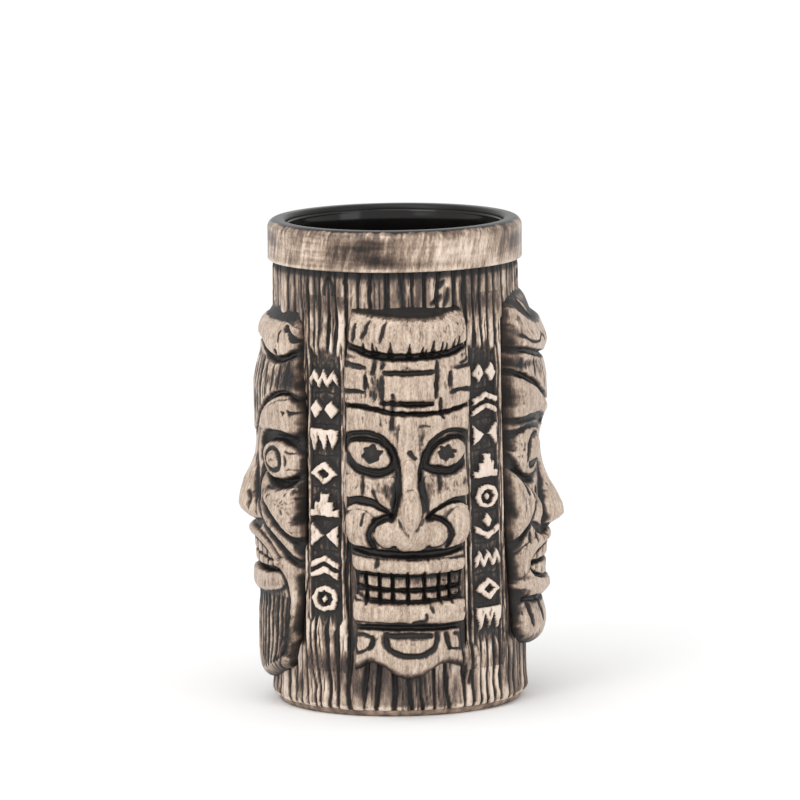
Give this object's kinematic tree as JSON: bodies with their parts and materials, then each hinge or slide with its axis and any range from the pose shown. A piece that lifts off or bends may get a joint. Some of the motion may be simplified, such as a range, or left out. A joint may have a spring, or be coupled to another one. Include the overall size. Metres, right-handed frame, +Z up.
{
  "type": "tiki mug",
  "caption": "Tall tapered ceramic tumbler with a plain rim band, wrapped in carved tiki masks with headdresses, bark texture and columns of raised geometric marks between them.",
  "frame": {"origin": "centre of the foot, on the surface the mug stands on", "axes": "+Z up through the open rim, front mask looks along -Y, right mask along +X"},
  "size_m": [0.1022, 0.1018, 0.155],
  "materials": {
    "bare_clay": "unglazed, matt",
    "bark_stain": "brown wash over grooved bark, satin",
    "rim_glaze": "cream with brushed dark streaks, satin",
    "black_glaze": "gloss black lining",
    "mask_glaze": "cream, wiped dark wash in the cuts, satin",
    "headdress_glaze": "cream, wiped dark wash in the cuts, satin",
    "sign_glaze": "cream raised marks on a dark washed ground, satin"
  },
  "bodies": {
    "root": {"foot_ring": "bare_clay", "mug_body": "bark_stain", "rim_band": "rim_glaze", "inner_glaze": "black_glaze", "front_mask": "mask_glaze", "front_headdress": "headdress_glaze", "left_mask": "mask_glaze", "left_headdress": "headdress_glaze", "right_mask": "mask_glaze", "right_headdress": "headdress_glaze", "back_mask": "mask_glaze", "back_headdress": "headdress_glaze", "sign_front_left": "sign_glaze", "sign_front_right": "sign_glaze", "sign_back_left": "sign_glaze", "sign_back_right": "sign_glaze"}
  },
  "joints": []
}
